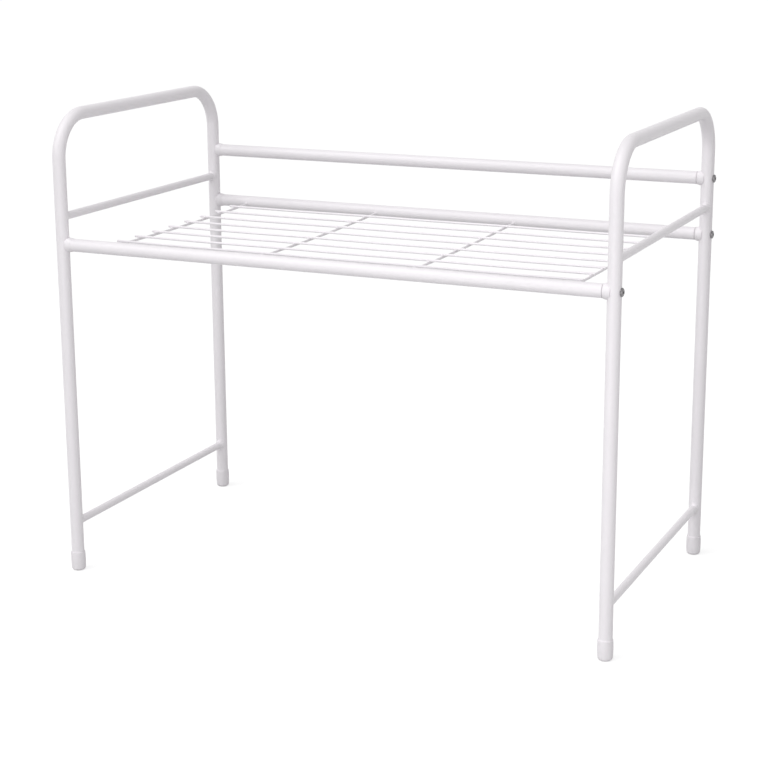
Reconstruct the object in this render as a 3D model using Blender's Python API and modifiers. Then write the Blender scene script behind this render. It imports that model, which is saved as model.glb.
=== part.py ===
"""White tube and wire shelf rack for a kitchen counter.

Two tubes are bent into arches, one for each end of the rack. Three straight rails run between
them, each held by a saddle cap, a screw and a threaded insert at either end. The screws have
button heads on the right and flush heads on the left. The two lower rails carry a shelf of welded
wires, and the third guards the back of the shelf. The legs stand in cups.

X runs along the rails, the front of the rack is at -Y and the floor is at Z = 0. Sizes are metres.
"""
import math

import bmesh
import bpy

# Overall sizes
TOTAL_HEIGHT = 0.450
FRAME_SPACING = 0.540           # between the planes of the two end frames
LEG_SPACING = 0.286             # between the axes of one frame's two legs

# Space left between two pieces that touch, and how far a cutter runs past what it cuts
GAP = 0.0003
OVERRUN = 0.004

# The round tube of the end frames and the rails
TUBE_DIAMETER = 0.0123
TUBE_WALL = 0.0009
BEND_RADIUS = 0.040             # to the axis of the tube

# The thinner tube welded across each end frame
CROSSBAR_DIAMETER = 0.0075
CROSSBAR_WALL = 0.0008
LOWER_CROSSBAR_HEIGHT = 0.049
UPPER_CROSSBAR_RISE = 0.026     # above the axes of the shelf rails

# Heights of the rails
GUARD_RAIL_BELOW_BEND = 0.0254  # below the height where the legs begin to bend
GUARD_RAIL_RISE = 0.054         # above the axes of the shelf rails

# The wire shelf
WIRE_DIAMETER = 0.003
LONG_WIRES = 8
CROSS_WIRES = 4
FIRST_LONG_WIRE = 0.0345        # from a rail's axis to the nearest long wire
FIRST_CROSS_WIRE = 0.042        # from a frame's plane to the nearest cross wire
LONG_WIRE_OVERHANG = 0.004      # past the outer cross wires
CROSS_WIRE_DROP = 0.002         # of a cross wire's ends below the axes of the rails
CROSS_WIRE_SAG = 0.002          # of its middle below its ends

# Saddle caps between the legs and the rails
LEFT_CAP_COLLAR = 0.005         # from the leg's surface to the rail's end
RIGHT_CAP_COLLAR = 0.0032
CAP_LIP = 0.0003                # of the collar over the rail
CAP_FLARE = 0.0016              # of the ears over the rail
CAP_EAR_STOP = 0.0022           # from the leg's axis to the ears' ends
CAP_EAR_TAPER_SHARE = 0.1       # of the ears' width, lost at their ends
CAP_SPIGOT = 0.008              # length inside the rail

# Screws, button headed on the right and flush on the left, and the inserts that take them
SCREW_DIAMETER = 0.004
SCREW_LENGTH = 0.035            # over all
BUTTON_HEAD_DIAMETER = 0.0078
BUTTON_HEAD_HEIGHT = 0.0015
BUTTON_HEAD_RIM = 0.0003        # height of the head's straight edge
BUTTON_HEAD_FACE = 0.0034       # diameter of the flat round the socket
FLUSH_HEAD_DIAMETER = 0.006
FLUSH_HEAD_HEIGHT = 0.001
SOCKET_WIDTH = 0.0025           # across the flats
SOCKET_DEPTH = 0.0012
INSERT_LENGTH = 0.014

# Foot cups
FOOT_HEIGHT = 0.0188
FOOT_FLOOR = 0.003
FOOT_WALL = 0.0004              # at the mouth
FOOT_BELLY = 0.00025            # of the cup's middle over its mouth
FOOT_EDGE_RADIUS = 0.003

# Facets
TUBE_SIDES = 20
CROSSBAR_SIDES = 16
WIRE_SIDES = 12
HOLE_SIDES = 16
SOCKET_SIDES = 6
BEND_STEPS = 8
CROSS_WIRE_STEPS = 12
FLARE_STEPS = 4
EAR_STEPS = 2
DOME_STEPS = 4
FOOT_BELLY_STEPS = 4
FOOT_EDGE_STEPS = 3
MERGE_DISTANCE = 0.00001
SHARP_ANGLE = math.radians(40)

# Sizes and places that follow
TUBE_RADIUS = TUBE_DIAMETER / 2
TUBE_BORE_RADIUS = TUBE_RADIUS - TUBE_WALL
PLUG_RADIUS = TUBE_BORE_RADIUS - GAP
SCREW_HOLE_RADIUS = SCREW_DIAMETER / 2 + GAP
FRAME_X = FRAME_SPACING / 2
LEG_Y = LEG_SPACING / 2
TOP_BAR_HEIGHT = TOTAL_HEIGHT - TUBE_RADIUS
BEND_START = TOP_BAR_HEIGHT - BEND_RADIUS
LEG_BOTTOM = FOOT_FLOOR + GAP
GUARD_RAIL_HEIGHT = BEND_START - GUARD_RAIL_BELOW_BEND
SHELF_RAIL_HEIGHT = GUARD_RAIL_HEIGHT - GUARD_RAIL_RISE
UPPER_CROSSBAR_HEIGHT = SHELF_RAIL_HEIGHT + UPPER_CROSSBAR_RISE
COLLAR_ENDS = {"left": TUBE_RADIUS + LEFT_CAP_COLLAR, "right": TUBE_RADIUS + RIGHT_CAP_COLLAR}
OUTER_CROSS_WIRE_X = FRAME_X - FIRST_CROSS_WIRE
OUTER_LONG_WIRE_Y = LEG_Y - FIRST_LONG_WIRE
FLUSH_HEAD_RADIUS = FLUSH_HEAD_DIAMETER / 2

# How far the outermost pieces reach from a leg's axis. The origin is under the middle of the box,
# and the box is longer on the right, where the button heads stand out further than the feet.
FLUSH_HEAD_REACH = math.sqrt(TUBE_RADIUS ** 2 - FLUSH_HEAD_RADIUS ** 2)
BUTTON_HEAD_REACH = TUBE_RADIUS + GAP + BUTTON_HEAD_HEIGHT
FOOT_REACH = TUBE_RADIUS + GAP + FOOT_WALL + FOOT_BELLY
BOX_CENTRE_X = (max(BUTTON_HEAD_REACH, FOOT_REACH) - FOOT_REACH) / 2

SIDES = {"left": -1, "right": 1}
ENDS = {"front": -1, "back": 1}
RAILS = {
    "front_shelf_rail": (-LEG_Y, SHELF_RAIL_HEIGHT),
    "back_shelf_rail": (LEG_Y, SHELF_RAIL_HEIGHT),
    "back_guard_rail": (LEG_Y, GUARD_RAIL_HEIGHT),
}


def clear_scene():
    for leftover in list(bpy.data.objects):
        bpy.data.objects.remove(leftover)


def new_collection(name):
    collection = bpy.data.collections.new(name)
    bpy.context.scene.collection.children.link(collection)
    return collection


def plain_material(name, colour, metallic, roughness):
    material = bpy.data.materials.new(name)
    material.use_nodes = True
    shader = material.node_tree.nodes["Principled BSDF"]
    shader.inputs["Base Color"].default_value = (*colour, 1.0)
    shader.inputs["Metallic"].default_value = metallic
    shader.inputs["Roughness"].default_value = roughness
    return material


def powder_coat():
    return plain_material("white_powder_coat", (0.88, 0.88, 0.88), 0.0, 0.38)


def white_plastic():
    return plain_material("white_plastic", (0.86, 0.86, 0.86), 0.0, 0.45)


def bright_steel():
    return plain_material("bright_steel", (0.60, 0.60, 0.60), 1.0, 0.20)


def plain_steel():
    return plain_material("plain_steel", (0.55, 0.55, 0.55), 1.0, 0.40)


def shade_by_angle(mesh):
    mesh.shade_smooth()
    mesh.set_sharp_from_angle(angle=SHARP_ANGLE)


def as_mesh(source):
    """Replaces a curve or a modified mesh with a plain mesh object, its seams welded."""
    name = source.name
    bpy.context.scene.collection.objects.link(source)
    evaluated = source.evaluated_get(bpy.context.evaluated_depsgraph_get())
    mesh = bpy.data.meshes.new_from_object(evaluated)
    mesh.name = name
    welded = bmesh.new()
    welded.from_mesh(mesh)
    bmesh.ops.remove_doubles(welded, verts=welded.verts, dist=MERGE_DISTANCE)
    welded.to_mesh(mesh)
    welded.free()
    shade_by_angle(mesh)
    placed = source.matrix_world.copy()
    bpy.data.objects.remove(source)
    piece = bpy.data.objects.new(name, mesh)
    piece.matrix_world = placed
    return piece


def swept(name, path, radius, sides, capped):
    """A round section swept along a path of points, as a curve."""
    curve = bpy.data.curves.new(name, "CURVE")
    curve.dimensions = "3D"
    curve.bevel_depth = radius
    curve.bevel_resolution = sides // 2 - 2
    curve.use_fill_caps = capped
    spline = curve.splines.new("POLY")
    spline.points.add(len(path) - 1)
    for point, place in zip(spline.points, path):
        point.co = (*place, 1.0)
    return bpy.data.objects.new(name, curve)


def hollow_tube(name, path, diameter, wall, sides):
    """An open swept surface, thickened inwards to the wall of the tube."""
    tube = as_mesh(swept(name, path, diameter / 2, sides, capped=False))
    thicken = tube.modifiers.new("wall", "SOLIDIFY")
    thicken.thickness = wall
    thicken.offset = -1
    thicken.use_even_offset = True
    return tube


def solid_rod(name, path, diameter, sides):
    return as_mesh(swept(name, path, diameter / 2, sides, capped=True))


def turned(name, profile, sides, is_ring=False):
    """A profile of (radius, height) points turned round Z, down the outer side from the top."""
    mesh = bpy.data.meshes.new(name)
    points = [(radius, 0.0, height) for radius, height in profile]
    edges = [(index, index + 1) for index in range(len(points) - 1)]
    if is_ring:
        edges.append((len(points) - 1, 0))
    mesh.from_pydata(points, edges, [])
    piece = bpy.data.objects.new(name, mesh)
    spin = piece.modifiers.new("turn", "SCREW")
    spin.axis = "Z"
    spin.angle = math.tau
    spin.steps = sides
    spin.render_steps = sides
    spin.use_merge_vertices = True
    spin.merge_threshold = MERGE_DISTANCE
    return as_mesh(piece)


def point_along_x(piece, direction, place):
    """Lays a turned piece's axis along X, its top towards the given direction."""
    piece.rotation_euler = (0.0, direction * math.pi / 2, 0.0)
    piece.location = place


def cut(piece, cutter):
    boolean = piece.modifiers.new(cutter.name, "BOOLEAN")
    boolean.operation = "DIFFERENCE"
    boolean.solver = "EXACT"
    boolean.object = cutter


def frame_path(side):
    """The axis of an end frame's tube: up the front leg, over the top, down the back leg."""
    x = side * FRAME_X
    bend_y = LEG_Y - BEND_RADIUS
    path = [(x, -LEG_Y, LEG_BOTTOM)]
    for end in ENDS.values():
        for step in range(BEND_STEPS + 1):
            turn = math.pi / 2 * step / BEND_STEPS
            rise = math.sin(turn) if end < 0 else math.cos(turn)
            reach = math.cos(turn) if end < 0 else math.sin(turn)
            path.append((x, end * (bend_y + BEND_RADIUS * reach), BEND_START + BEND_RADIUS * rise))
    path.append((x, LEG_Y, LEG_BOTTOM))
    return path


def cross_wire_height(y):
    """Height of a cross wire's axis: a shallow parabola between its two rails."""
    middle_share = 1 - (y / LEG_Y) ** 2
    return SHELF_RAIL_HEIGHT - CROSS_WIRE_DROP - CROSS_WIRE_SAG * middle_share


def evenly_spaced(outermost, count):
    return [outermost * (2 * index / (count - 1) - 1) for index in range(count)]


def make_cutter(cutter, collection):
    cutter.hide_render = True
    cutter.display_type = "WIRE"
    collection.objects.link(cutter)
    return cutter


def frame_clearance(side_name, side, cutters):
    """The space that an end frame's tube takes, with the gap round it."""
    room = solid_rod(f"{side_name}_frame_clearance", frame_path(side), TUBE_DIAMETER + 2 * GAP, TUBE_SIDES)
    return make_cutter(room, cutters)


def rail_path(rail_name):
    """The axis of a rail, from the collar of its left cap to the collar of its right cap."""
    y, height = RAILS[rail_name]
    return [(side * (FRAME_X - COLLAR_ENDS[side_name] - GAP), y, height) for side_name, side in SIDES.items()]


def rail_clearance(rail_name, cutters):
    """The space that a rail takes, with the gap round it."""
    room = solid_rod(f"{rail_name}_clearance", rail_path(rail_name), TUBE_DIAMETER + 2 * GAP, TUBE_SIDES)
    return make_cutter(room, cutters)


def screw_drill(rail_name, cutters):
    """One drill through both frames along a rail's axis."""
    y, height = RAILS[rail_name]
    reach = FRAME_X + TUBE_RADIUS + OVERRUN
    path = [(-reach, y, height), (reach, y, height)]
    return make_cutter(solid_rod(f"{rail_name}_drill", path, 2 * SCREW_HOLE_RADIUS, HOLE_SIDES), cutters)


def countersink(rail_name, side, cutters):
    """The seat of a flush head in the outer side of a leg, with the gap round it."""
    y, height = RAILS[rail_name]
    mouth_radius = FLUSH_HEAD_RADIUS + GAP
    bottom = -FLUSH_HEAD_HEIGHT - 2 * GAP
    profile = [(0.0, OVERRUN), (mouth_radius, OVERRUN), (mouth_radius, -GAP)]
    profile.append((SCREW_DIAMETER / 2, bottom))
    profile.append((0.0, bottom))
    seat = turned(f"{rail_name}_countersink", profile, HOLE_SIDES)
    point_along_x(seat, side, (side * (FRAME_X + FLUSH_HEAD_REACH), y, height))
    return make_cutter(seat, cutters)


def hexagon_key(screw_name, direction, top, cutters):
    """The hexagonal socket in the top of a screw's head."""
    corner = SOCKET_WIDTH / 2 / math.cos(math.pi / SOCKET_SIDES)
    depth = SOCKET_DEPTH + OVERRUN
    mesh = bpy.data.meshes.new(f"{screw_name}_key")
    prism = bmesh.new()
    bmesh.ops.create_cone(
        prism, cap_ends=True, segments=SOCKET_SIDES, radius1=corner, radius2=corner, depth=depth)
    prism.to_mesh(mesh)
    prism.free()
    key = bpy.data.objects.new(f"{screw_name}_key", mesh)
    centre = depth / 2 - SOCKET_DEPTH
    point_along_x(key, direction, (top[0] + direction * centre, top[1], top[2]))
    return make_cutter(key, cutters)


def end_frame(side_name, side, holes):
    frame = hollow_tube(f"{side_name}_end_frame", frame_path(side), TUBE_DIAMETER, TUBE_WALL, TUBE_SIDES)
    for hole in holes:
        cut(frame, hole)
    return frame


def crossbar(name, side, height, clearance):
    """A thin tube from leg to leg, each end cut to fit round its leg."""
    path = [(side * FRAME_X, -LEG_Y, height), (side * FRAME_X, LEG_Y, height)]
    bar = hollow_tube(name, path, CROSSBAR_DIAMETER, CROSSBAR_WALL, CROSSBAR_SIDES)
    cut(bar, clearance)
    return bar


def rail(rail_name):
    return hollow_tube(rail_name, rail_path(rail_name), TUBE_DIAMETER, TUBE_WALL, TUBE_SIDES)


def cap_profile(collar_end):
    """Half section of a saddle cap, by distance from the leg's axis: spigot, collar, flare, ear, bore."""
    spigot_end = collar_end + CAP_SPIGOT
    rim_radius = TUBE_RADIUS + CAP_LIP
    flare_radius = TUBE_RADIUS + CAP_FLARE
    collar = collar_end - TUBE_RADIUS
    ear = TUBE_RADIUS - CAP_EAR_STOP
    profile = [(PLUG_RADIUS, spigot_end), (PLUG_RADIUS, collar_end)]
    for step in range(FLARE_STEPS + 1):
        down = step / FLARE_STEPS
        radius = rim_radius + (flare_radius - rim_radius) * math.sin(math.pi / 2 * down)
        profile.append((radius, collar_end - collar * down))
    for step in range(1, EAR_STEPS + 1):
        profile.append((flare_radius, TUBE_RADIUS - ear * step / EAR_STEPS))
    profile.append((SCREW_HOLE_RADIUS, CAP_EAR_STOP))
    profile.append((SCREW_HOLE_RADIUS, spigot_end))
    return profile


def taper_ears(cap, collar_end):
    """Narrows the outside of a turned cap along Y, more and more towards the ends of its ears."""
    for vertex in cap.data.vertices:
        x, y, along = vertex.co
        if math.hypot(x, y) > TUBE_RADIUS:
            down = (collar_end - along) / (collar_end - CAP_EAR_STOP)
            vertex.co.y = y * (1 - CAP_EAR_TAPER_SHARE * down ** 2)
    cap.modifiers.new("flat_facets", "TRIANGULATE")


def saddle_cap(rail_name, side_name, side, clearance):
    """A plug for the rail's end whose outer face is hollowed to sit round the leg."""
    y, height = RAILS[rail_name]
    collar_end = COLLAR_ENDS[side_name]
    cap = turned(f"{rail_name}_{side_name}_cap", cap_profile(collar_end), TUBE_SIDES, is_ring=True)
    taper_ears(cap, collar_end)
    point_along_x(cap, -side, (side * FRAME_X, y, height))
    cut(cap, clearance)
    return cap


def button_screw_profile():
    """Half section of a button head screw, with the top of its head at height zero."""
    head_radius = BUTTON_HEAD_DIAMETER / 2
    face_radius = BUTTON_HEAD_FACE / 2
    dome = BUTTON_HEAD_HEIGHT - BUTTON_HEAD_RIM
    profile = [(0.0, 0.0)]
    for step in range(DOME_STEPS + 1):
        turn = math.pi / 2 * step / DOME_STEPS
        radius = face_radius + (head_radius - face_radius) * math.sin(turn)
        profile.append((radius, dome * (math.cos(turn) - 1)))
    profile.append((head_radius, -BUTTON_HEAD_HEIGHT))
    profile.append((SCREW_DIAMETER / 2, -BUTTON_HEAD_HEIGHT))
    profile.append((SCREW_DIAMETER / 2, -SCREW_LENGTH))
    profile.append((0.0, -SCREW_LENGTH))
    return profile


def flush_screw_profile():
    """Half section of a flush head screw, with the top of its head at height zero."""
    profile = [(0.0, 0.0), (FLUSH_HEAD_RADIUS, 0.0)]
    profile.append((SCREW_DIAMETER / 2, -FLUSH_HEAD_HEIGHT))
    profile.append((SCREW_DIAMETER / 2, -SCREW_LENGTH))
    profile.append((0.0, -SCREW_LENGTH))
    return profile


def screw(rail_name, side_name, side, cutters):
    y, height = RAILS[rail_name]
    name = f"{rail_name}_{side_name}_screw"
    if side_name == "left":
        profile, reach = flush_screw_profile(), FLUSH_HEAD_REACH
    else:
        profile, reach = button_screw_profile(), BUTTON_HEAD_REACH
    top = (side * (FRAME_X + reach), y, height)
    piece = turned(name, profile, HOLE_SIDES)
    point_along_x(piece, side, top)
    cut(piece, hexagon_key(name, side, top, cutters))
    return piece


def rail_insert(rail_name, side_name, side):
    """The steel plug behind a cap's spigot that holds the screw's thread."""
    y, height = RAILS[rail_name]
    start = COLLAR_ENDS[side_name] + CAP_SPIGOT + GAP
    end = start + INSERT_LENGTH
    profile = [(PLUG_RADIUS, end), (PLUG_RADIUS, start), (SCREW_HOLE_RADIUS, start), (SCREW_HOLE_RADIUS, end)]
    piece = turned(f"{rail_name}_{side_name}_insert", profile, TUBE_SIDES, is_ring=True)
    point_along_x(piece, -side, (side * FRAME_X, y, height))
    return piece


def foot_profile():
    """Half section of a foot cup: its floor, bore, mouth, swelling side and rounded bottom edge."""
    bore_radius = TUBE_RADIUS + GAP
    mouth_radius = bore_radius + FOOT_WALL
    flat_radius = mouth_radius - FOOT_EDGE_RADIUS
    side_height = FOOT_HEIGHT - FOOT_EDGE_RADIUS
    profile = [(0.0, FOOT_FLOOR), (bore_radius, FOOT_FLOOR), (bore_radius, FOOT_HEIGHT)]
    for step in range(FOOT_BELLY_STEPS + 1):
        down = step / FOOT_BELLY_STEPS
        swell = FOOT_BELLY * math.sin(math.pi * down)
        profile.append((mouth_radius + swell, FOOT_HEIGHT - side_height * down))
    for step in range(1, FOOT_EDGE_STEPS + 1):
        turn = math.pi / 2 * step / FOOT_EDGE_STEPS
        across = flat_radius + FOOT_EDGE_RADIUS * math.cos(turn)
        profile.append((across, FOOT_EDGE_RADIUS * (1 - math.sin(turn))))
    profile.append((0.0, 0.0))
    return profile


def foot(side_name, side, end_name, end):
    cup = turned(f"{side_name}_{end_name}_foot", foot_profile(), TUBE_SIDES)
    cup.location = (side * FRAME_X, end * LEG_Y, 0.0)
    return cup


def cross_wire(index, x, clearances):
    """A wire under the long ones, butted against the two shelf rails."""
    path = []
    for step in range(CROSS_WIRE_STEPS + 1):
        y = LEG_Y * (2 * step / CROSS_WIRE_STEPS - 1)
        path.append((x, y, cross_wire_height(y)))
    wire = solid_rod(f"cross_wire_{index}", path, WIRE_DIAMETER, WIRE_SIDES)
    for clearance in clearances:
        cut(wire, clearance)
    return wire


def shelf_wire(index, y):
    """A long wire lying on the cross wires."""
    reach = OUTER_CROSS_WIRE_X + LONG_WIRE_OVERHANG
    height = cross_wire_height(y) + WIRE_DIAMETER + GAP
    path = [(-reach, y, height), (reach, y, height)]
    return solid_rod(f"shelf_wire_{index}", path, WIRE_DIAMETER, WIRE_SIDES)


def build_rack():
    clear_scene()
    rack = new_collection("shelf_rack")
    cutters = new_collection("cutters")
    coat = powder_coat()
    plastic = white_plastic()
    chrome = bright_steel()
    steel = plain_steel()

    def add(piece, material):
        rack.objects.link(piece)
        piece.data.materials.append(material)

    drills = [screw_drill(rail_name, cutters) for rail_name in RAILS]
    countersinks = [countersink(rail_name, SIDES["left"], cutters) for rail_name in RAILS]
    holes = {"left": drills + countersinks, "right": drills}
    shelf_clearances = [rail_clearance(name, cutters) for name in ("front_shelf_rail", "back_shelf_rail")]

    for side_name, side in SIDES.items():
        clearance = frame_clearance(side_name, side, cutters)
        add(end_frame(side_name, side, holes[side_name]), coat)
        add(crossbar(f"{side_name}_upper_crossbar", side, UPPER_CROSSBAR_HEIGHT, clearance), coat)
        add(crossbar(f"{side_name}_lower_crossbar", side, LOWER_CROSSBAR_HEIGHT, clearance), coat)
        for rail_name in RAILS:
            add(saddle_cap(rail_name, side_name, side, clearance), plastic)
            add(screw(rail_name, side_name, side, cutters), chrome)
            add(rail_insert(rail_name, side_name, side), steel)
        for end_name, end in ENDS.items():
            add(foot(side_name, side, end_name, end), plastic)

    for rail_name in RAILS:
        add(rail(rail_name), coat)
    for index, x in enumerate(evenly_spaced(OUTER_CROSS_WIRE_X, CROSS_WIRES), start=1):
        add(cross_wire(index, x, shelf_clearances), coat)
    for index, y in enumerate(evenly_spaced(OUTER_LONG_WIRE_Y, LONG_WIRES), start=1):
        add(shelf_wire(index, y), coat)

    for piece in (*rack.objects, *cutters.objects):
        piece.location.x -= BOX_CENTRE_X


build_rack()
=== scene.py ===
"""Looks of the white shelf rack: fine coated tubes, welded wires, moulded caps and feet, a plain studio.

Every piece is a skin lofted through rings of points. Its place and size come from the box of the
node that it replaces, and the small sizes that no box holds are named below, in metres.
"""
import math

import bmesh
import bpy
from mathutils import Matrix, Vector


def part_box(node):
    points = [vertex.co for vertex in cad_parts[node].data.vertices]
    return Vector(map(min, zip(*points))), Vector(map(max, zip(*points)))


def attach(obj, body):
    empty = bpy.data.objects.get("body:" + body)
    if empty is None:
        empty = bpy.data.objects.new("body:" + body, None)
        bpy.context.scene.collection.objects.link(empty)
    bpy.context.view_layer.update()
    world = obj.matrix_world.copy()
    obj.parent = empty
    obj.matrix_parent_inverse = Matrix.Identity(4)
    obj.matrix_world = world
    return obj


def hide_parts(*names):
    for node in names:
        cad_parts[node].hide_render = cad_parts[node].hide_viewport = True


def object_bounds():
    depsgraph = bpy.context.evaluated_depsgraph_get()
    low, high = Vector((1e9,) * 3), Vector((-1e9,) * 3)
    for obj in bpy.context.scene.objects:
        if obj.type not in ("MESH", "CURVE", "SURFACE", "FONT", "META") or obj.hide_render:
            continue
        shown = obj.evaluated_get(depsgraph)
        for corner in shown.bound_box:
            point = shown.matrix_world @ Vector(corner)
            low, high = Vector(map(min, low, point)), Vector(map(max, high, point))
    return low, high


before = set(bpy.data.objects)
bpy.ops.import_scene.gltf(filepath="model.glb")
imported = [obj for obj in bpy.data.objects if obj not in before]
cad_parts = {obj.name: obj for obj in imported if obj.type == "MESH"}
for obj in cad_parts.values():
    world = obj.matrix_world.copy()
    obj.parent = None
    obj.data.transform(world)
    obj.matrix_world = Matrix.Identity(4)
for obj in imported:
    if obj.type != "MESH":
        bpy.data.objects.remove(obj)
cad_low, cad_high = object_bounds()

X = Vector((1, 0, 0))
Y = Vector((0, 1, 0))
Z = Vector((0, 0, 1))
SIDES = {"left": -1, "right": 1}
ENDS = {"front": -1, "back": 1}
RAILS = ("front_shelf_rail", "back_shelf_rail", "back_guard_rail")
LONG_WIRES = 8
CROSS_WIRES = 4

# Space that the boxes leave between two pieces that touch
GAP = 0.0003

# Sizes of the bent tube that its box does not give
BEND_RADIUS = 0.040
BEND_STEPS = 28
BEND_FLATTENING_SHARE = 0.02     # of the tube's radius, across the bend
TUBE_EDGE = 0.00015

# Welds: rolled beads round the ends of the bars and wires
CROSSBAR_WELD = 0.0015
CROSS_WIRE_WELD = 0.0009
WELD_SINK = 0.0002
WELD_STEPS = 6
WELD_RIPPLE_SHARE = 0.14
WELD_WAVES = 3                   # round a bead
WELD_FINE_WAVES = 7
WELD_FINE_SHARE = 0.6            # of the fine waves' height to the others'
WELD_FINE_PHASE_SHARE = 2
CROSS_WIRE_WELD_CLEARANCE = 0.0027      # from a rail to the first ring of the sagging span
NUGGET_LENGTH = 0.0034           # along the long wire
NUGGET_WIDTH = 0.0030
NUGGET_HEIGHT = 0.0016
NUGGET_STEPS = 8

# Wires, drawn a little finer than the solids, as they look in the photograph
WIRE_SLIMMING = 0.0003           # of the radius
WIRE_EDGE = 0.0006
WIRE_BOW = 0.0003                # of a long wire between two cross wires
WIRE_BOW_STEPS = 8
CROSS_WIRE_SAG = 0.002
CROSS_WIRE_STEPS = 24

# Saddle caps
CAP_LIPS = {"left": 0.00008, "right": 0.0003}       # of the collar over the rail
CAP_TOP_FLARE = 0.0009           # of the mouth over the rail, above and below
CAP_EAR_FLARES = {"left": 0.0005, "right": 0.00158}
CAP_EAR_STOPS = {"left": 0.0040, "right": 0.0022}   # from the leg's axis to the ears' ends
CAP_EAR_TAPER_SHARES = {"left": 0.2, "right": 0.1}  # of the ears' width, lost at their ends
CAP_SEAMS = {"left": 0.00002, "right": 0.0005}      # between the rail's end and the collar
CAP_EDGE = 0.00015
EAR_EDGE = 0.0003
EAR_CORNER_POWER = 4
EAR_FIT_ROUNDS = 4
THINNEST_WALL = 0.00005
CAP_STEPS = 14

# Screws
SHANK_RADIUS = 0.002
BUTTON_HEAD_RIM = 0.0003
BUTTON_HEAD_FACE_RADIUS = 0.0017
FLUSH_HEAD_HEIGHT = 0.001
HEAD_EDGE = 0.00015
POCKET_CLEARANCE = 0.00015       # round a flush head
POCKET_DEPTH = 0.0016            # below its top, and so below its socket
POCKET_OVERRUN = 0.0003          # of the cutter, past the leg's surface
SOCKET_WIDTH = 0.0025            # across the flats
SOCKET_DEPTH = 0.0012
SOCKET_CHAMFER = 0.00015
SOCKET_CORNERS = 6
DOME_STEPS = 12

# Foot cups
FOOT_WALL = 0.0004
FOOT_EDGE_RADIUS = 0.003
FOOT_EDGE_STEPS = 9
FOOT_BELLY_STEPS = 14
FOOT_MOUTH_EDGE = 0.0002
FOOT_MOUTH_DEPTH = 0.003         # of the skin inside the mouth, round the leg

# Green against red and blue in the greys
LILAC_GREEN_SHARE = 0.965

# Points round each kind of piece
TUBE_POINTS = 56
CROSSBAR_POINTS = 40
WIRE_POINTS = 24
CAP_POINTS = 120
SCREW_POINTS = 60
FOOT_POINTS = 64
EDGE_STEPS = 4
SHARP_ANGLE = math.radians(38)


def middle(node):
    low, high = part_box(node)
    return (low + high) / 2


def extent(node):
    low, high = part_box(node)
    return high - low


TUBE_RADIUS = extent("front_shelf_rail").z / 2
CROSSBAR_RADIUS = extent("left_lower_crossbar").z / 2
WIRE_RADIUS = extent("shelf_wire_1").z / 2 - WIRE_SLIMMING
LEG_Y = extent("left_end_frame").y / 2 - TUBE_RADIUS


# Shader helpers

def new_material(name):
    """A Principled material, with its node tree and its shader."""
    material = bpy.data.materials.new(name)
    material.use_nodes = True
    tree = material.node_tree
    return material, tree, tree.nodes["Principled BSDF"]


def object_noise(tree, scale, detail):
    """Noise fixed to the piece, with the given number of features in a metre."""
    place = tree.nodes.new("ShaderNodeTexCoord")
    noise = tree.nodes.new("ShaderNodeTexNoise")
    noise.inputs["Scale"].default_value = scale
    noise.inputs["Detail"].default_value = detail
    tree.links.new(place.outputs["Object"], noise.inputs["Vector"])
    return noise.outputs["Fac"]


def spread(tree, value, low, high):
    """Maps a value from 0..1 to a range."""
    node = tree.nodes.new("ShaderNodeMapRange")
    node.inputs["To Min"].default_value = low
    node.inputs["To Max"].default_value = high
    tree.links.new(value, node.inputs["Value"])
    return node.outputs["Result"]


def tinted(shade):
    """A grey with the trace of lilac that all of the rack's greys have."""
    return (shade, shade * LILAC_GREEN_SHARE, shade, 1)


def grey(tree, value, dark, light):
    """Mixes two greys by a value."""
    mix = tree.nodes.new("ShaderNodeMix")
    mix.data_type = "RGBA"
    mix.inputs["A"].default_value = tinted(dark)
    mix.inputs["B"].default_value = tinted(light)
    tree.links.new(value, mix.inputs["Factor"])
    return mix.outputs["Result"]


def bumped(tree, height, distance, strength, below=None):
    """A bump of a real height in metres, laid over another bump if one is given."""
    bump = tree.nodes.new("ShaderNodeBump")
    bump.inputs["Distance"].default_value = distance
    bump.inputs["Strength"].default_value = strength
    tree.links.new(height, bump.inputs["Height"])
    if below is not None:
        tree.links.new(below, bump.inputs["Normal"])
    return bump.outputs["Normal"]


def powder_coat(name, dark, light):
    """White powder coat: a soft gloss over fine orange peel, a little uneven in shade and shine."""
    material, tree, shader = new_material(name)
    shade = object_noise(tree, scale=14, detail=3)
    shine = object_noise(tree, scale=120, detail=4)
    peel = object_noise(tree, scale=620, detail=2)
    grit = object_noise(tree, scale=2600, detail=2)
    tree.links.new(grey(tree, shade, dark, light), shader.inputs["Base Color"])
    tree.links.new(spread(tree, shine, low=0.30, high=0.44), shader.inputs["Roughness"])
    wavy = bumped(tree, peel, distance=0.00006, strength=0.5)
    gritty = bumped(tree, grit, distance=0.00001, strength=0.4, below=wavy)
    tree.links.new(gritty, shader.inputs["Normal"])
    return material


def white_plastic(name, dark, light, fine):
    """Moulded white plastic: satin, with a faint grain."""
    material, tree, shader = new_material(name)
    shade = object_noise(tree, scale=60, detail=3)
    shine = object_noise(tree, scale=400, detail=3)
    grain = object_noise(tree, scale=fine, detail=2)
    tree.links.new(grey(tree, shade, dark, light), shader.inputs["Base Color"])
    tree.links.new(spread(tree, shine, low=0.40, high=0.55), shader.inputs["Roughness"])
    tree.links.new(bumped(tree, grain, distance=0.00001, strength=0.5), shader.inputs["Normal"])
    return material


def plated_steel(name, dark, light, smooth, rough, scale):
    """Plated steel, a little cloudy in its colour and its shine."""
    material, tree, shader = new_material(name)
    shader.inputs["Metallic"].default_value = 1.0
    cloud = object_noise(tree, scale, detail=3)
    tree.links.new(grey(tree, cloud, dark, light), shader.inputs["Base Color"])
    tree.links.new(spread(tree, cloud, smooth, rough), shader.inputs["Roughness"])
    tree.links.new(bumped(tree, cloud, distance=0.000005, strength=0.4), shader.inputs["Normal"])
    return material


# Shape helpers

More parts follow.
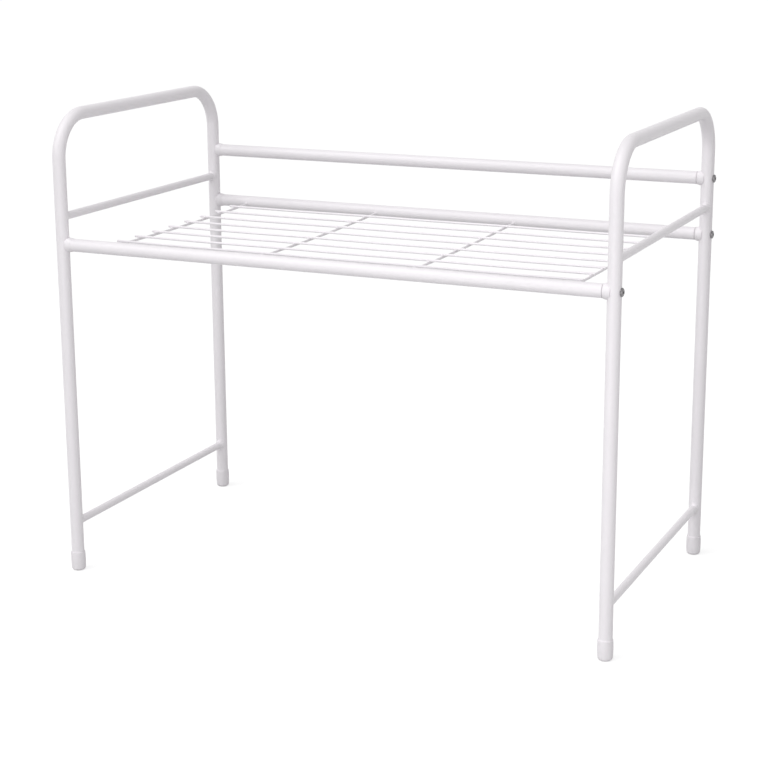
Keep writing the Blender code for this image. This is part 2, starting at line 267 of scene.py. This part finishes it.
def circle(centre, across, up, radius, count, up_radius=None):
    """A ring of points round a centre, in the plane of two directions."""
    high = radius if up_radius is None else up_radius
    points = []
    for index in range(count):
        turn = math.tau * index / count
        points.append(centre + across * (radius * math.cos(turn)) + up * (high * math.sin(turn)))
    return points


def quarter_turn(steps, first=0):
    """Angles from 0 to a right angle in equal steps, from the given step on."""
    return [math.pi / 2 * step / steps for step in range(first, steps + 1)]


def lofted(name, rings):
    """A closed smooth object through rings of equally many points."""
    count = len(rings[0])
    vertices = [point for ring in rings for point in ring]
    faces = []
    for start in range(0, count * (len(rings) - 1), count):
        for index in range(count):
            after = (index + 1) % count
            faces.append((start + index, start + after, start + count + after, start + count + index))
    faces.append(tuple(range(count)))
    faces.append(tuple(range(len(vertices) - count, len(vertices))))
    mesh = bpy.data.meshes.new(name)
    mesh.from_pydata(vertices, [], faces)
    closed = bmesh.new()
    closed.from_mesh(mesh)
    bmesh.ops.recalc_face_normals(closed, faces=closed.faces)
    closed.to_mesh(mesh)
    closed.free()
    mesh.shade_smooth()
    mesh.set_sharp_from_angle(angle=SHARP_ANGLE)
    piece = bpy.data.objects.new(name, mesh)
    bpy.context.scene.collection.objects.link(piece)
    return piece


def skin(name, rings, material, slot, *nodes):
    """A lofted piece of the rack, which stands for the given nodes."""
    piece = lofted(name, rings)
    piece.data.materials.append(material)
    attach(piece, "root")
    if nodes:
        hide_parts(*nodes)
    return piece


def cut_away(piece, rings):
    """Cuts the shape lofted through rings out of a piece."""
    cutter = lofted("cutter", rings)
    boolean = piece.modifiers.new("cut", "BOOLEAN")
    boolean.operation = "DIFFERENCE"
    boolean.object = cutter
    evaluated = piece.evaluated_get(bpy.context.evaluated_depsgraph_get())
    mesh = bpy.data.meshes.new_from_object(evaluated)
    piece.modifiers.clear()
    piece.data = mesh
    mesh.set_sharp_from_angle(angle=SHARP_ANGLE)
    bpy.data.objects.remove(cutter)


def rounded_stations(length, radius, edge):
    """Distances along a rod and its radius there, with both ends' edges rounded."""
    start = []
    for turn in quarter_turn(EDGE_STEPS):
        start.append((edge * (1 - math.cos(turn)), radius - edge * (1 - math.sin(turn))))
    finish = [(length - along, wide) for along, wide in reversed(start)]
    return start + finish


# Tubes and wires

def leg_levels(bottom):
    """Heights of a leg's rings: its bottom, and just below and above each rail."""
    levels = [bottom]
    for height in (middle("front_shelf_rail").z, middle("back_guard_rail").z):
        levels += [height - TUBE_RADIUS, height + TUBE_RADIUS]
    return levels


def end_frame(side_name, material):
    """One tube bent into two legs and a top bar, a little flattened in its bends."""
    node = f"{side_name}_end_frame"
    low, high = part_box(node)
    x = middle(node).x
    bend_y = LEG_Y - BEND_RADIUS
    bend_start = high.z - TUBE_RADIUS - BEND_RADIUS
    levels = leg_levels(low.z)
    rings = [circle(Vector((x, -LEG_Y, level)), X, -Y, TUBE_RADIUS, TUBE_POINTS) for level in levels]
    for end in ENDS.values():
        for step in range(BEND_STEPS + 1):
            share = step / BEND_STEPS if end < 0 else 1 - step / BEND_STEPS
            turn = math.pi / 2 * share
            outward = Y * (end * math.cos(turn)) + Z * math.sin(turn)
            centre = Vector((x, end * bend_y, bend_start)) + outward * BEND_RADIUS
            flat = BEND_FLATTENING_SHARE * math.sin(math.pi * share)
            wide = TUBE_RADIUS * (1 + flat)
            deep = TUBE_RADIUS * (1 - flat)
            rings.append(circle(centre, X, outward, wide, TUBE_POINTS, deep))
    for level in reversed(levels):
        rings.append(circle(Vector((x, LEG_Y, level)), X, Y, TUBE_RADIUS, TUBE_POINTS))
    return skin(f"{node}_tube", rings, material, "powder_coat", node)


def rail(node, material):
    low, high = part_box(node)
    centre = middle(node)
    rings = []
    for along, radius in rounded_stations(high.x - low.x, TUBE_RADIUS, TUBE_EDGE):
        rings.append(circle(Vector((low.x + along, centre.y, centre.z)), Y, Z, radius, TUBE_POINTS))
    return skin(f"{node}_tube", rings, material, "powder_coat", node)


def weld_rings(centre, end, radius, weld, seam_y, count, phase):
    """Rings of a rolled weld bead, from the surface that a tube along Y meets to the tube's own side.

    seam_y gives how far along Y the surface stands out from its own axis, at an offset from the tube's axis.
    """
    rings = []
    for turn in quarter_turn(WELD_STEPS):
        ring = []
        for index in range(count):
            angle = math.tau * index / count
            fine = math.sin(WELD_FINE_WAVES * angle + WELD_FINE_PHASE_SHARE * phase)
            ripple = math.sin(WELD_WAVES * angle + phase) + WELD_FINE_SHARE * fine
            leg = weld * (1 + WELD_RIPPLE_SHARE * ripple * math.cos(turn))
            reach = radius + leg * math.cos(turn)
            rise = leg * math.sin(turn) - WELD_SINK * math.cos(turn)
            across = reach * math.cos(angle)
            up = reach * math.sin(angle)
            ring.append(centre + X * across + Z * up - Y * (end * (seam_y(across, up) + rise)))
        rings.append(ring)
    return rings


def crossbar(node, material, phase):
    """A thin tube from leg to leg with its two welds."""
    x, _, height = middle(node)

    def leg_surface(across, up):
        return math.sqrt(TUBE_RADIUS ** 2 - across ** 2)

    front = weld_rings(Vector((x, -LEG_Y, height)), -1, CROSSBAR_RADIUS, CROSSBAR_WELD, leg_surface,
                       CROSSBAR_POINTS, phase)
    back = weld_rings(Vector((x, LEG_Y, height)), 1, CROSSBAR_RADIUS, CROSSBAR_WELD, leg_surface,
                      CROSSBAR_POINTS, phase + 1)
    return skin(f"{node}_tube", front + back[::-1], material, "powder_coat", node)


def cross_wire_height(y):
    """Height of a cross wire's axis: its ends are at the box's top less the wire's radius."""
    end_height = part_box("cross_wire_1")[1].z - WIRE_RADIUS
    return end_height - CROSS_WIRE_SAG * (1 - (y / LEG_Y) ** 2)


def cross_wire(node, material, phase):
    """A short sagging wire with a weld on each shelf rail."""
    x = middle(node).x
    rail_height = middle("front_shelf_rail").z
    end_height = cross_wire_height(LEG_Y)

    def rail_surface(across, up):
        return math.sqrt(TUBE_RADIUS ** 2 - (end_height + up - rail_height) ** 2)

    front = weld_rings(Vector((x, -LEG_Y, end_height)), -1, WIRE_RADIUS, CROSS_WIRE_WELD, rail_surface,
                       WIRE_POINTS, phase)
    back = weld_rings(Vector((x, LEG_Y, end_height)), 1, WIRE_RADIUS, CROSS_WIRE_WELD, rail_surface,
                      WIRE_POINTS, phase + 1)
    span = []
    clear_y = LEG_Y - TUBE_RADIUS - CROSS_WIRE_WELD_CLEARANCE
    for step in range(CROSS_WIRE_STEPS + 1):
        y = clear_y * (2 * step / CROSS_WIRE_STEPS - 1)
        span.append(circle(Vector((x, y, cross_wire_height(y))), X, Z, WIRE_RADIUS, WIRE_POINTS))
    return skin(f"{node}_rod", front + span + back[::-1], material, "powder_coat", node)


def shelf_wire(node, material):
    """A long wire, bowed a little between the cross wires, with rounded ends."""
    low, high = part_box(node)
    centre = middle(node) - Z * WIRE_SLIMMING
    stations = rounded_stations(high.x - low.x, WIRE_RADIUS, WIRE_EDGE)
    cross_x = [middle(f"cross_wire_{index + 1}").x for index in range(CROSS_WIRES)]
    half = len(stations) // 2
    rings = []
    for along, radius in stations[:half]:
        rings.append(circle(Vector((low.x + along, centre.y, centre.z)), Y, Z, radius, WIRE_POINTS))
    for start, finish in zip(cross_x, cross_x[1:]):
        for step in range(1, WIRE_BOW_STEPS):
            share = step / WIRE_BOW_STEPS
            height = centre.z - WIRE_BOW * math.sin(math.pi * share)
            place = Vector((start + (finish - start) * share, centre.y, height))
            rings.append(circle(place, Y, Z, WIRE_RADIUS, WIRE_POINTS))
    for along, radius in stations[half:]:
        rings.append(circle(Vector((low.x + along, centre.y, centre.z)), Y, Z, radius, WIRE_POINTS))
    return skin(f"{node}_rod", rings, material, "powder_coat", node)


def wire_nugget(cross_node, long_node, material):
    """The small weld that fuses a long wire to a cross wire."""
    x = middle(cross_node).x
    long_centre = middle(long_node)
    height = (cross_wire_height(long_centre.y) + long_centre.z) / 2
    rings = []
    for step in range(1, NUGGET_STEPS):
        turn = math.pi * step / NUGGET_STEPS
        centre = Vector((x, long_centre.y, height + NUGGET_HEIGHT / 2 * math.cos(turn)))
        wide = math.sin(turn)
        rings.append(circle(centre, X, Y, NUGGET_LENGTH / 2 * wide, WIRE_POINTS, NUGGET_WIDTH / 2 * wide))
    return skin(f"{cross_node}_{long_node}_weld", rings, material, "powder_coat")


# Caps, screws and feet

class CapShape:
    """Outside of a saddle cap, by distance from the leg's axis and angle from the top."""

    def __init__(self, side_name, collar_end):
        self.collar_end = collar_end
        self.lip_radius = TUBE_RADIUS + CAP_LIPS[side_name]
        self.ear_flare = CAP_EAR_FLARES[side_name]
        self.ear_stop = CAP_EAR_STOPS[side_name]
        self.ear_taper_share = CAP_EAR_TAPER_SHARES[side_name]

    def mouth_radius(self, angle):
        """Radius at the leg's surface, where the flare ends."""
        flare = CAP_TOP_FLARE + (self.ear_flare - CAP_TOP_FLARE) * math.sin(angle) ** 2
        return TUBE_RADIUS + flare

    def radius(self, distance, angle):
        """Radius at a distance: from the collar's lip it swells to the flare at the leg's surface."""
        down = min(1.0, (self.collar_end - distance) / (self.collar_end - TUBE_RADIUS))
        return self.lip_radius + (self.mouth_radius(angle) - self.lip_radius) * math.sin(math.pi / 2 * down)

    def narrowing(self, distance):
        """Share of the width that is left at a distance."""
        down = (self.collar_end - distance) / (self.collar_end - self.ear_stop)
        return 1 - self.ear_taper_share * down ** 2

    def offset(self, distance, angle):
        """How far the mouth's outside is from the rail's axis across the leg."""
        return self.mouth_radius(angle) * abs(math.sin(angle)) * self.narrowing(distance)

    def end(self, angle):
        """Where the cap stops: at the leg's surface, or at the end of an ear."""
        stop = TUBE_RADIUS
        for _ in range(EAR_FIT_ROUNDS):
            surface = math.sqrt(TUBE_RADIUS ** 2 - min(TUBE_RADIUS, self.offset(stop, angle)) ** 2)
            stop = (surface ** EAR_CORNER_POWER + self.ear_stop ** EAR_CORNER_POWER) ** (1 / EAR_CORNER_POWER)
        return stop

    def wall(self, angle):
        """Thickness that is left outside the leg where the cap stops."""
        stop = self.end(angle)
        inner = math.sqrt(max(0.0, TUBE_RADIUS ** 2 - stop ** 2))
        return max(THINNEST_WALL, self.offset(stop, angle) - inner)


def saddle_cap(rail_node, side_name, material):
    """A collar that flares from the rail's end to two ears round the leg."""
    node = f"{rail_node}_{side_name}_cap"
    side = SIDES[side_name]
    low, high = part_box(rail_node)
    rail_centre = middle(rail_node)
    origin = Vector((middle(f"{side_name}_end_frame").x, rail_centre.y, rail_centre.z))
    rail_end = high.x if side > 0 else low.x
    shape = CapShape(side_name, abs(origin.x - rail_end) - CAP_SEAMS[side_name])

    def ring(place):
        """place gives the distance from the leg's axis and the radius at each angle from the top."""
        points = []
        for index in range(CAP_POINTS):
            angle = math.tau * index / CAP_POINTS
            distance, radius = place(angle)
            across = radius * math.sin(angle) * shape.narrowing(distance)
            points.append(origin - X * (side * distance) + Z * (radius * math.cos(angle)) + Y * across)
        return points

    rings = [ring(lambda angle: (shape.collar_end, TUBE_RADIUS - CAP_EDGE))]
    for turn in quarter_turn(EDGE_STEPS):
        back = shape.collar_end - CAP_EDGE * (1 - math.cos(turn))
        wide = shape.lip_radius - CAP_EDGE * (1 - math.sin(turn))
        rings.append(ring(lambda angle: (back, wide)))
    for step in range(1, CAP_STEPS + 1):
        share = step / CAP_STEPS

        def flared(angle):
            stop = shape.end(angle) + min(EAR_EDGE, shape.wall(angle) / 2)
            distance = back + (stop - back) * share
            return distance, shape.radius(distance, angle)

        rings.append(ring(flared))
    for turn in quarter_turn(EDGE_STEPS, first=1):

        def rounded(angle):
            edge = min(EAR_EDGE, shape.wall(angle) / 2)
            distance = shape.end(angle) + edge * (1 - math.sin(turn))
            return distance, shape.mouth_radius(angle) - edge * (1 - math.cos(turn))

        rings.append(ring(rounded))

    def inside(angle):
        return shape.end(angle), shape.mouth_radius(angle) - shape.wall(angle) - EAR_EDGE

    rings.append(ring(inside))
    return skin(f"{node}_moulding", rings, material, "cap_plastic", node)


def hexagon(centre, width, count):
    """A ring of points across X on a hexagon that is width across its flats."""
    sector = math.tau / SOCKET_CORNERS
    points = []
    for index in range(count):
        turn = math.tau * index / count
        offset = (turn + sector / 2) % sector - sector / 2
        radius = width / 2 / math.cos(offset)
        points.append(centre + Y * (radius * math.cos(turn)) + Z * (radius * math.sin(turn)))
    return points


def button_head(top, head_radius):
    """Distances from the leg's axis and radii up a button head, from its shank to its flat face."""
    seat = TUBE_RADIUS
    stations = [(0.0, SHANK_RADIUS), (seat, SHANK_RADIUS)]
    for turn in quarter_turn(EDGE_STEPS):
        along = seat + HEAD_EDGE * (1 - math.cos(turn))
        stations.append((along, head_radius - HEAD_EDGE * (1 - math.sin(turn))))
    rim = seat + BUTTON_HEAD_RIM
    for turn in quarter_turn(DOME_STEPS):
        radius = BUTTON_HEAD_FACE_RADIUS + (head_radius - BUTTON_HEAD_FACE_RADIUS) * math.cos(turn)
        stations.append((rim + (top - rim) * math.sin(turn), radius))
    return stations


def flush_head(top, head_radius):
    """Distances from the leg's axis and radii up a flush head, from its shank to its flat face."""
    stations = [(0.0, SHANK_RADIUS), (top - FLUSH_HEAD_HEIGHT, SHANK_RADIUS)]
    stations.append((top - HEAD_EDGE, head_radius))
    stations.append((top, head_radius - HEAD_EDGE))
    return stations


def screw(rail_node, side_name, leg, material):
    """A screw with a hexagonal socket: button headed on the right, sunk flush in the leg on the left."""
    node = f"{rail_node}_{side_name}_screw"
    side = SIDES[side_name]
    low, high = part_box(node)
    centre = middle(node)
    leg_x = middle(f"{side_name}_end_frame").x
    top = abs((high.x if side > 0 else low.x) - leg_x)
    head_radius = extent(node).z / 2

    def at(distance):
        return Vector((leg_x + side * distance, centre.y, centre.z))

    head = flush_head if side_name == "left" else button_head
    rings = [circle(at(along), Y, Z, radius, SCREW_POINTS) for along, radius in head(top, head_radius)]
    mouth = SOCKET_WIDTH / 2 / math.cos(math.pi / SOCKET_CORNERS) + SOCKET_CHAMFER
    rings.append(circle(at(top), Y, Z, mouth, SCREW_POINTS))
    rings.append(hexagon(at(top - SOCKET_CHAMFER), SOCKET_WIDTH, SCREW_POINTS))
    rings.append(hexagon(at(top - SOCKET_DEPTH), SOCKET_WIDTH, SCREW_POINTS))
    if side_name == "left":
        pocket = head_radius + POCKET_CLEARANCE
        cut_away(leg, [circle(at(along), Y, Z, pocket, SCREW_POINTS)
                       for along in (top - POCKET_DEPTH, TUBE_RADIUS + POCKET_OVERRUN)])
    return skin(f"{node}_metal", rings, material, "screw_chrome", node)


def foot(side_name, end_name, material):
    """A cup that swells a little between its mouth and its rounded bottom edge."""
    node = f"{side_name}_{end_name}_foot"
    low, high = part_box(node)
    centre = middle(node)
    height = high.z - low.z
    mouth_radius = TUBE_RADIUS + GAP + FOOT_WALL
    swell = extent(node).y / 2 - mouth_radius

    def level(rise, radius):
        return circle(Vector((centre.x, centre.y, low.z + rise)), X, Y, radius, FOOT_POINTS)

    rings = [level(height - FOOT_MOUTH_DEPTH, TUBE_RADIUS)]
    for turn in quarter_turn(EDGE_STEPS):
        drop = FOOT_MOUTH_EDGE * (1 - math.sin(turn))
        rings.append(level(height - drop, TUBE_RADIUS + FOOT_MOUTH_EDGE * (1 - math.cos(turn))))
    for turn in quarter_turn(EDGE_STEPS):
        drop = FOOT_MOUTH_EDGE * (1 - math.cos(turn))
        rings.append(level(height - drop, mouth_radius - FOOT_MOUTH_EDGE * (1 - math.sin(turn))))
    side_height = height - FOOT_EDGE_RADIUS
    for step in range(1, FOOT_BELLY_STEPS + 1):
        down = step / FOOT_BELLY_STEPS
        drop = FOOT_MOUTH_EDGE + (side_height - FOOT_MOUTH_EDGE) * down
        rings.append(level(height - drop, mouth_radius + swell * math.sin(math.pi * down)))
    for turn in quarter_turn(FOOT_EDGE_STEPS, first=1):
        radius = mouth_radius - FOOT_EDGE_RADIUS * (1 - math.cos(turn))
        rings.append(level(FOOT_EDGE_RADIUS * (1 - math.sin(turn)), radius))
    return skin(f"{node}_cup", rings, material, "foot_plastic", node)


def build_rack():
    coat = powder_coat("white_powder_coat", dark=0.85, light=0.89)
    # Painted light: the long wires and their weld nuggets get a lighter copy of the powder coat, which stands
    # in for light on their shaded undersides.
    wire_coat_painted_lighter = powder_coat("wire_coat_with_painted_light", dark=0.93, light=0.96)
    cap_plastic = white_plastic("cap_plastic_white", dark=0.85, light=0.88, fine=1800)
    foot_plastic = white_plastic("foot_plastic_white", dark=0.82, light=0.85, fine=1400)
    # Painted reflection: the screws' plated steel gets a dark base colour, which stands in for dark
    # surroundings reflected in their heads.
    screw_steel_painted_dark = plated_steel("screw_steel_with_painted_dark_reflection", dark=0.17, light=0.25, smooth=0.14, rough=0.24, scale=900)
    zinc = plated_steel("zinc_insert_steel", dark=0.42, light=0.58, smooth=0.32, rough=0.50, scale=300)
    phase = 0
    for side_name in SIDES:
        leg = end_frame(side_name, coat)
        for level in ("upper", "lower"):
            crossbar(f"{side_name}_{level}_crossbar", coat, phase)
            phase += 1
        for rail_node in RAILS:
            saddle_cap(rail_node, side_name, cap_plastic)
            screw(rail_node, side_name, leg, screw_steel_painted_dark)
            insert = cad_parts[f"{rail_node}_{side_name}_insert"]
            insert.data.materials.clear()
            insert.data.materials.append(zinc)
        for end_name in ENDS:
            foot(side_name, end_name, foot_plastic)
    for rail_node in RAILS:
        rail(rail_node, coat)
    for cross_index in range(1, CROSS_WIRES + 1):
        cross_wire(f"cross_wire_{cross_index}", coat, cross_index)
        for long_index in range(1, LONG_WIRES + 1):
            wire_nugget(f"cross_wire_{cross_index}", f"shelf_wire_{long_index}", wire_coat_painted_lighter)
    for long_index in range(1, LONG_WIRES + 1):
        shelf_wire(f"shelf_wire_{long_index}", wire_coat_painted_lighter)


# Studio

CAMERA_PLACE = (0.7035, -1.5387, 0.6371)
CAMERA_YAW = math.radians(24.71)
CAMERA_PITCH = math.radians(14.08)
CAMERA_ROLL = math.radians(0.32)
CAMERA_LENS = 84.75
CAMERA_SHIFT_SHARE = -0.04
FLOOR_DEPTH = 0.0002
FLOOR_REACH = 60.0
FLOOR_GREY = 0.44
FLOOR_GLOW = 0.70
WORLD_LIGHT = 0.5
KEY_FROM = Vector((-0.40, -0.55, 0.73))
KEY_POWER = 1.1
KEY_ANGLE = math.radians(50)
PANELS = {
    "front_panel": {"place": (0.1, -1.0, 0.1), "size": 0.8, "power": 3.4},
    "right_panel": {"place": (1.3, -0.9, 0.45), "size": 1.0, "power": 3.6},
    "top_panel": {"place": (-0.3, -0.3, 1.3), "size": 0.8, "power": 1.5},
}
WHITE = (1, 1, 1, 1)


def seen_directly(tree):
    """1 for camera, glossy and transmission rays, 0 for diffuse ones."""
    path = tree.nodes.new("ShaderNodeLightPath")
    either = tree.nodes.new("ShaderNodeMath")
    either.operation = "MAXIMUM"
    tree.links.new(path.outputs["Is Camera Ray"], either.inputs[0])
    tree.links.new(path.outputs["Is Glossy Ray"], either.inputs[1])
    every = tree.nodes.new("ShaderNodeMath")
    every.operation = "MAXIMUM"
    tree.links.new(either.outputs[0], every.inputs[0])
    tree.links.new(path.outputs["Is Transmission Ray"], every.inputs[1])
    return every.outputs[0]


def make_world():
    """White where it is seen, and a plain soft light on the rack."""
    world = bpy.data.worlds.new("studio")
    world.use_nodes = True
    bpy.context.scene.world = world
    tree = world.node_tree
    background = tree.nodes["Background"]
    background.inputs["Color"].default_value = WHITE
    tree.links.new(spread(tree, seen_directly(tree), WORLD_LIGHT, 1.0), background.inputs["Strength"])


def floor_material():
    """A matt grey floor that glows to white where it is seen and keeps its shadows."""
    material, tree, shader = new_material("studio_floor")
    shader.inputs["Base Color"].default_value = (FLOOR_GREY, FLOOR_GREY, FLOOR_GREY, 1)
    shader.inputs["Roughness"].default_value = 1.0
    shader.inputs["Specular IOR Level"].default_value = 0.0
    shader.inputs["Emission Color"].default_value = WHITE
    tree.links.new(spread(tree, seen_directly(tree), 0.0, FLOOR_GLOW), shader.inputs["Emission Strength"])
    return material


def make_floor():
    mesh = bpy.data.meshes.new("studio_floor")
    square = bmesh.new()
    bmesh.ops.create_grid(square, x_segments=1, y_segments=1, size=FLOOR_REACH)
    square.to_mesh(mesh)
    square.free()
    floor = bpy.data.objects.new("studio_floor", mesh)
    floor.location.z = -FLOOR_DEPTH
    mesh.materials.append(floor_material())
    bpy.context.scene.collection.objects.link(floor)


def aim(thing, place, back):
    """Puts a lamp at a place, shining against the given direction."""
    thing.location = place
    thing.rotation_euler = back.to_track_quat("Z", "Y").to_euler()
    bpy.context.scene.collection.objects.link(thing)


def make_lamps():
    """A broad key from the front left and above, and three panels nearer the rack."""
    key = bpy.data.lights.new("key", "SUN")
    key.energy = KEY_POWER
    key.angle = KEY_ANGLE
    aim(bpy.data.objects.new("key", key), KEY_FROM, KEY_FROM)
    rack_centre = (cad_low + cad_high) / 2
    for name, values in PANELS.items():
        panel = bpy.data.lights.new(name, "AREA")
        panel.energy = values["power"]
        panel.size = values["size"]
        place = Vector(values["place"])
        aim(bpy.data.objects.new(name, panel), place, place - rack_centre)


def make_camera():
    """The photograph's viewpoint: from the front right and a little above."""
    data = bpy.data.cameras.new("camera")
    data.lens = CAMERA_LENS
    data.shift_y = CAMERA_SHIFT_SHARE
    camera = bpy.data.objects.new("camera", data)
    turn = Matrix.Rotation(CAMERA_YAW, 4, "Z") @ Matrix.Rotation(math.pi / 2 - CAMERA_PITCH, 4, "X")
    camera.matrix_world = Matrix.Translation(CAMERA_PLACE) @ turn @ Matrix.Rotation(-CAMERA_ROLL, 4, "Z")
    bpy.context.scene.collection.objects.link(camera)
    bpy.context.scene.camera = camera


bpy.context.scene.view_settings.view_transform = "Standard"
build_rack()
make_world()
make_floor()
make_lamps()
make_camera()
